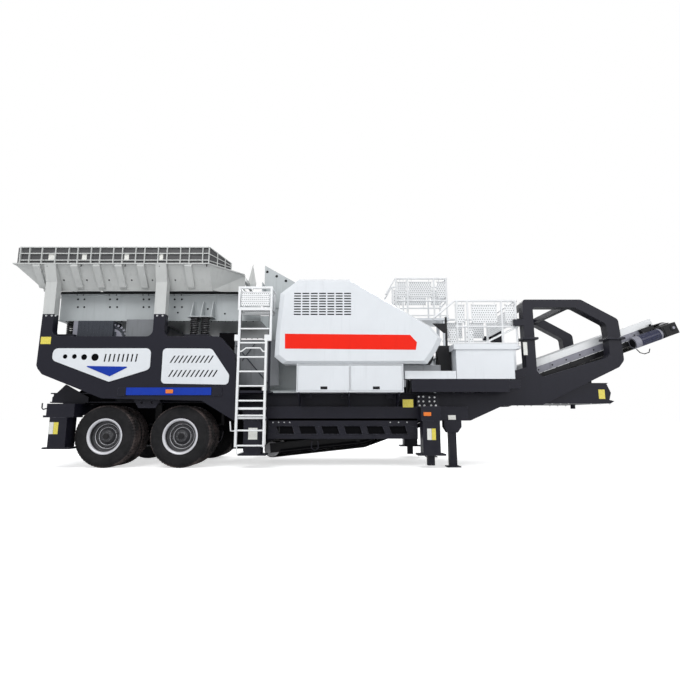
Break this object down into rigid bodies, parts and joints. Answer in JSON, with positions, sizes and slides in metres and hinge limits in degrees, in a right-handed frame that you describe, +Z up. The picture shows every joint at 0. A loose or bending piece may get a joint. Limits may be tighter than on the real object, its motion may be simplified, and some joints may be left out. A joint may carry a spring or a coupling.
{
  "type": "mobile jaw crusher station",
  "caption": "Jaw crusher plant on a semi-trailer: flared feed hopper, vibrating feeder, guarded crusher, arched gooseneck and inclined discharge conveyor.",
  "frame": {"origin": "on the ground under the middle of the plant's bounding box", "axes": "+X runs along the trailer towards the discharge conveyor, +Z is up, and the side in the picture faces -Y"},
  "size_m": [12.4436, 3, 3.986],
  "materials": {
    "chassis_paint": "semi-gloss",
    "white_paint": "semi-gloss",
    "blue_paint": "semi-gloss",
    "grey_paint": "satin",
    "board_grey": "satin",
    "feeder_grey": "satin",
    "spring_black": "satin",
    "motor_blue": "satin",
    "jaw_steel": "worn",
    "machinery_grey": "painted",
    "motor_black": "satin",
    "axle_black": "satin",
    "tyre": "matte",
    "rim": "satin",
    "belt": "matte",
    "roller_steel": "worn"
  },
  "bodies": {
    "plant": {"main_beams": "chassis_paint", "cross_members": "chassis_paint", "chassis_rails": "chassis_paint", "sill_panels": "chassis_paint", "outriggers": "chassis_paint", "goosenecks": "chassis_paint", "arches": "chassis_paint", "coupler_box": "chassis_paint", "side_frames": "chassis_paint", "vent_panels": "white_paint", "blue_trim": "blue_paint", "hopper_posts": "grey_paint", "hopper_sides": "grey_paint", "hopper_rear_wall": "grey_paint", "hopper_corners": "grey_paint", "top_boards": "board_grey", "feeder_trough": "feeder_grey", "feeder_springs": "spring_black", "feeder_seats": "chassis_paint", "feeder_drive": "motor_blue", "feed_chute": "feeder_grey", "crusher_frame": "feeder_grey", "jaw_plates": "jaw_steel", "pitman": "machinery_grey", "flywheels": "machinery_grey", "drive_guards": "white_paint", "drive_motor": "motor_black", "tool_cabinets": "white_paint", "power_cabinets": "white_paint", "platform_decks": "white_paint", "guard_rails": "white_paint", "access_landing": "white_paint", "ladder": "white_paint", "axles": "axle_black", "suspension": "axle_black", "jack_housings": "chassis_paint", "landing_legs": "chassis_paint", "conveyor_frame": "feeder_grey", "conveyor_skirts": "white_paint", "conveyor_belt": "belt", "conveyor_rollers": "roller_steel", "conveyor_drive": "motor_blue"},
    "wheels_rear_near": {"tyres_rear_near": "tyre", "rims_rear_near": "rim"},
    "wheels_rear_far": {"tyres_rear_far": "tyre", "rims_rear_far": "rim"},
    "wheels_front_near": {"tyres_front_near": "tyre", "rims_front_near": "rim"},
    "wheels_front_far": {"tyres_front_far": "tyre", "rims_front_far": "rim"},
    "cabinet_door_rear": {"cabinet_door_rear": "white_paint"},
    "cabinet_door_front": {"cabinet_door_front": "white_paint"},
    "jack_leg_rear_near": {"jack_leg_rear_near": "chassis_paint"},
    "jack_leg_rear_far": {"jack_leg_rear_far": "chassis_paint"},
    "jack_leg_mid_near": {"jack_leg_mid_near": "chassis_paint"},
    "jack_leg_mid_far": {"jack_leg_mid_far": "chassis_paint"},
    "jack_leg_front_near": {"jack_leg_front_near": "chassis_paint"},
    "jack_leg_front_far": {"jack_leg_front_far": "chassis_paint"}
  },
  "joints": [
    {"name": "wheel_spin_rear_near", "type": "hinge", "parent": "plant", "child": "wheels_rear_near", "pos_m": [-4.44176, -0.935, 0.54], "axis": [0, 1, 0], "continuous": true},
    {"name": "wheel_spin_rear_far", "type": "hinge", "parent": "plant", "child": "wheels_rear_far", "pos_m": [-4.44176, 0.935, 0.54], "axis": [0, 1, 0], "continuous": true},
    {"name": "wheel_spin_front_near", "type": "hinge", "parent": "plant", "child": "wheels_front_near", "pos_m": [-3.12176, -0.935, 0.54], "axis": [0, 1, 0], "continuous": true},
    {"name": "wheel_spin_front_far", "type": "hinge", "parent": "plant", "child": "wheels_front_far", "pos_m": [-3.12176, 0.935, 0.54], "axis": [0, 1, 0], "continuous": true},
    {"name": "door_swing_rear", "type": "hinge", "parent": "plant", "child": "cabinet_door_rear", "pos_m": [-0.61426, -1.39, 1.76], "axis": [-1, 0, 0], "range_deg": [0, 90]},
    {"name": "door_swing_front", "type": "hinge", "parent": "plant", "child": "cabinet_door_front", "pos_m": [0.30074, -1.39, 1.76], "axis": [-1, 0, 0], "range_deg": [0, 90]},
    {"name": "jack_slide_rear_near", "type": "slide", "parent": "plant", "child": "jack_leg_rear_near", "axis": [0, 0, -1], "range_m": [0, 0.31]},
    {"name": "jack_slide_rear_far", "type": "slide", "parent": "plant", "child": "jack_leg_rear_far", "axis": [0, 0, -1], "range_m": [0, 0.31]},
    {"name": "jack_slide_mid_near", "type": "slide", "parent": "plant", "child": "jack_leg_mid_near", "axis": [0, 0, -1], "range_m": [0, 0.2]},
    {"name": "jack_slide_mid_far", "type": "slide", "parent": "plant", "child": "jack_leg_mid_far", "axis": [0, 0, -1], "range_m": [0, 0.2]},
    {"name": "jack_slide_front_near", "type": "slide", "parent": "plant", "child": "jack_leg_front_near", "axis": [0, 0, -1], "range_m": [-0.17, 0.04]},
    {"name": "jack_slide_front_far", "type": "slide", "parent": "plant", "child": "jack_leg_front_far", "axis": [0, 0, -1], "range_m": [-0.17, 0.04]}
  ]
}
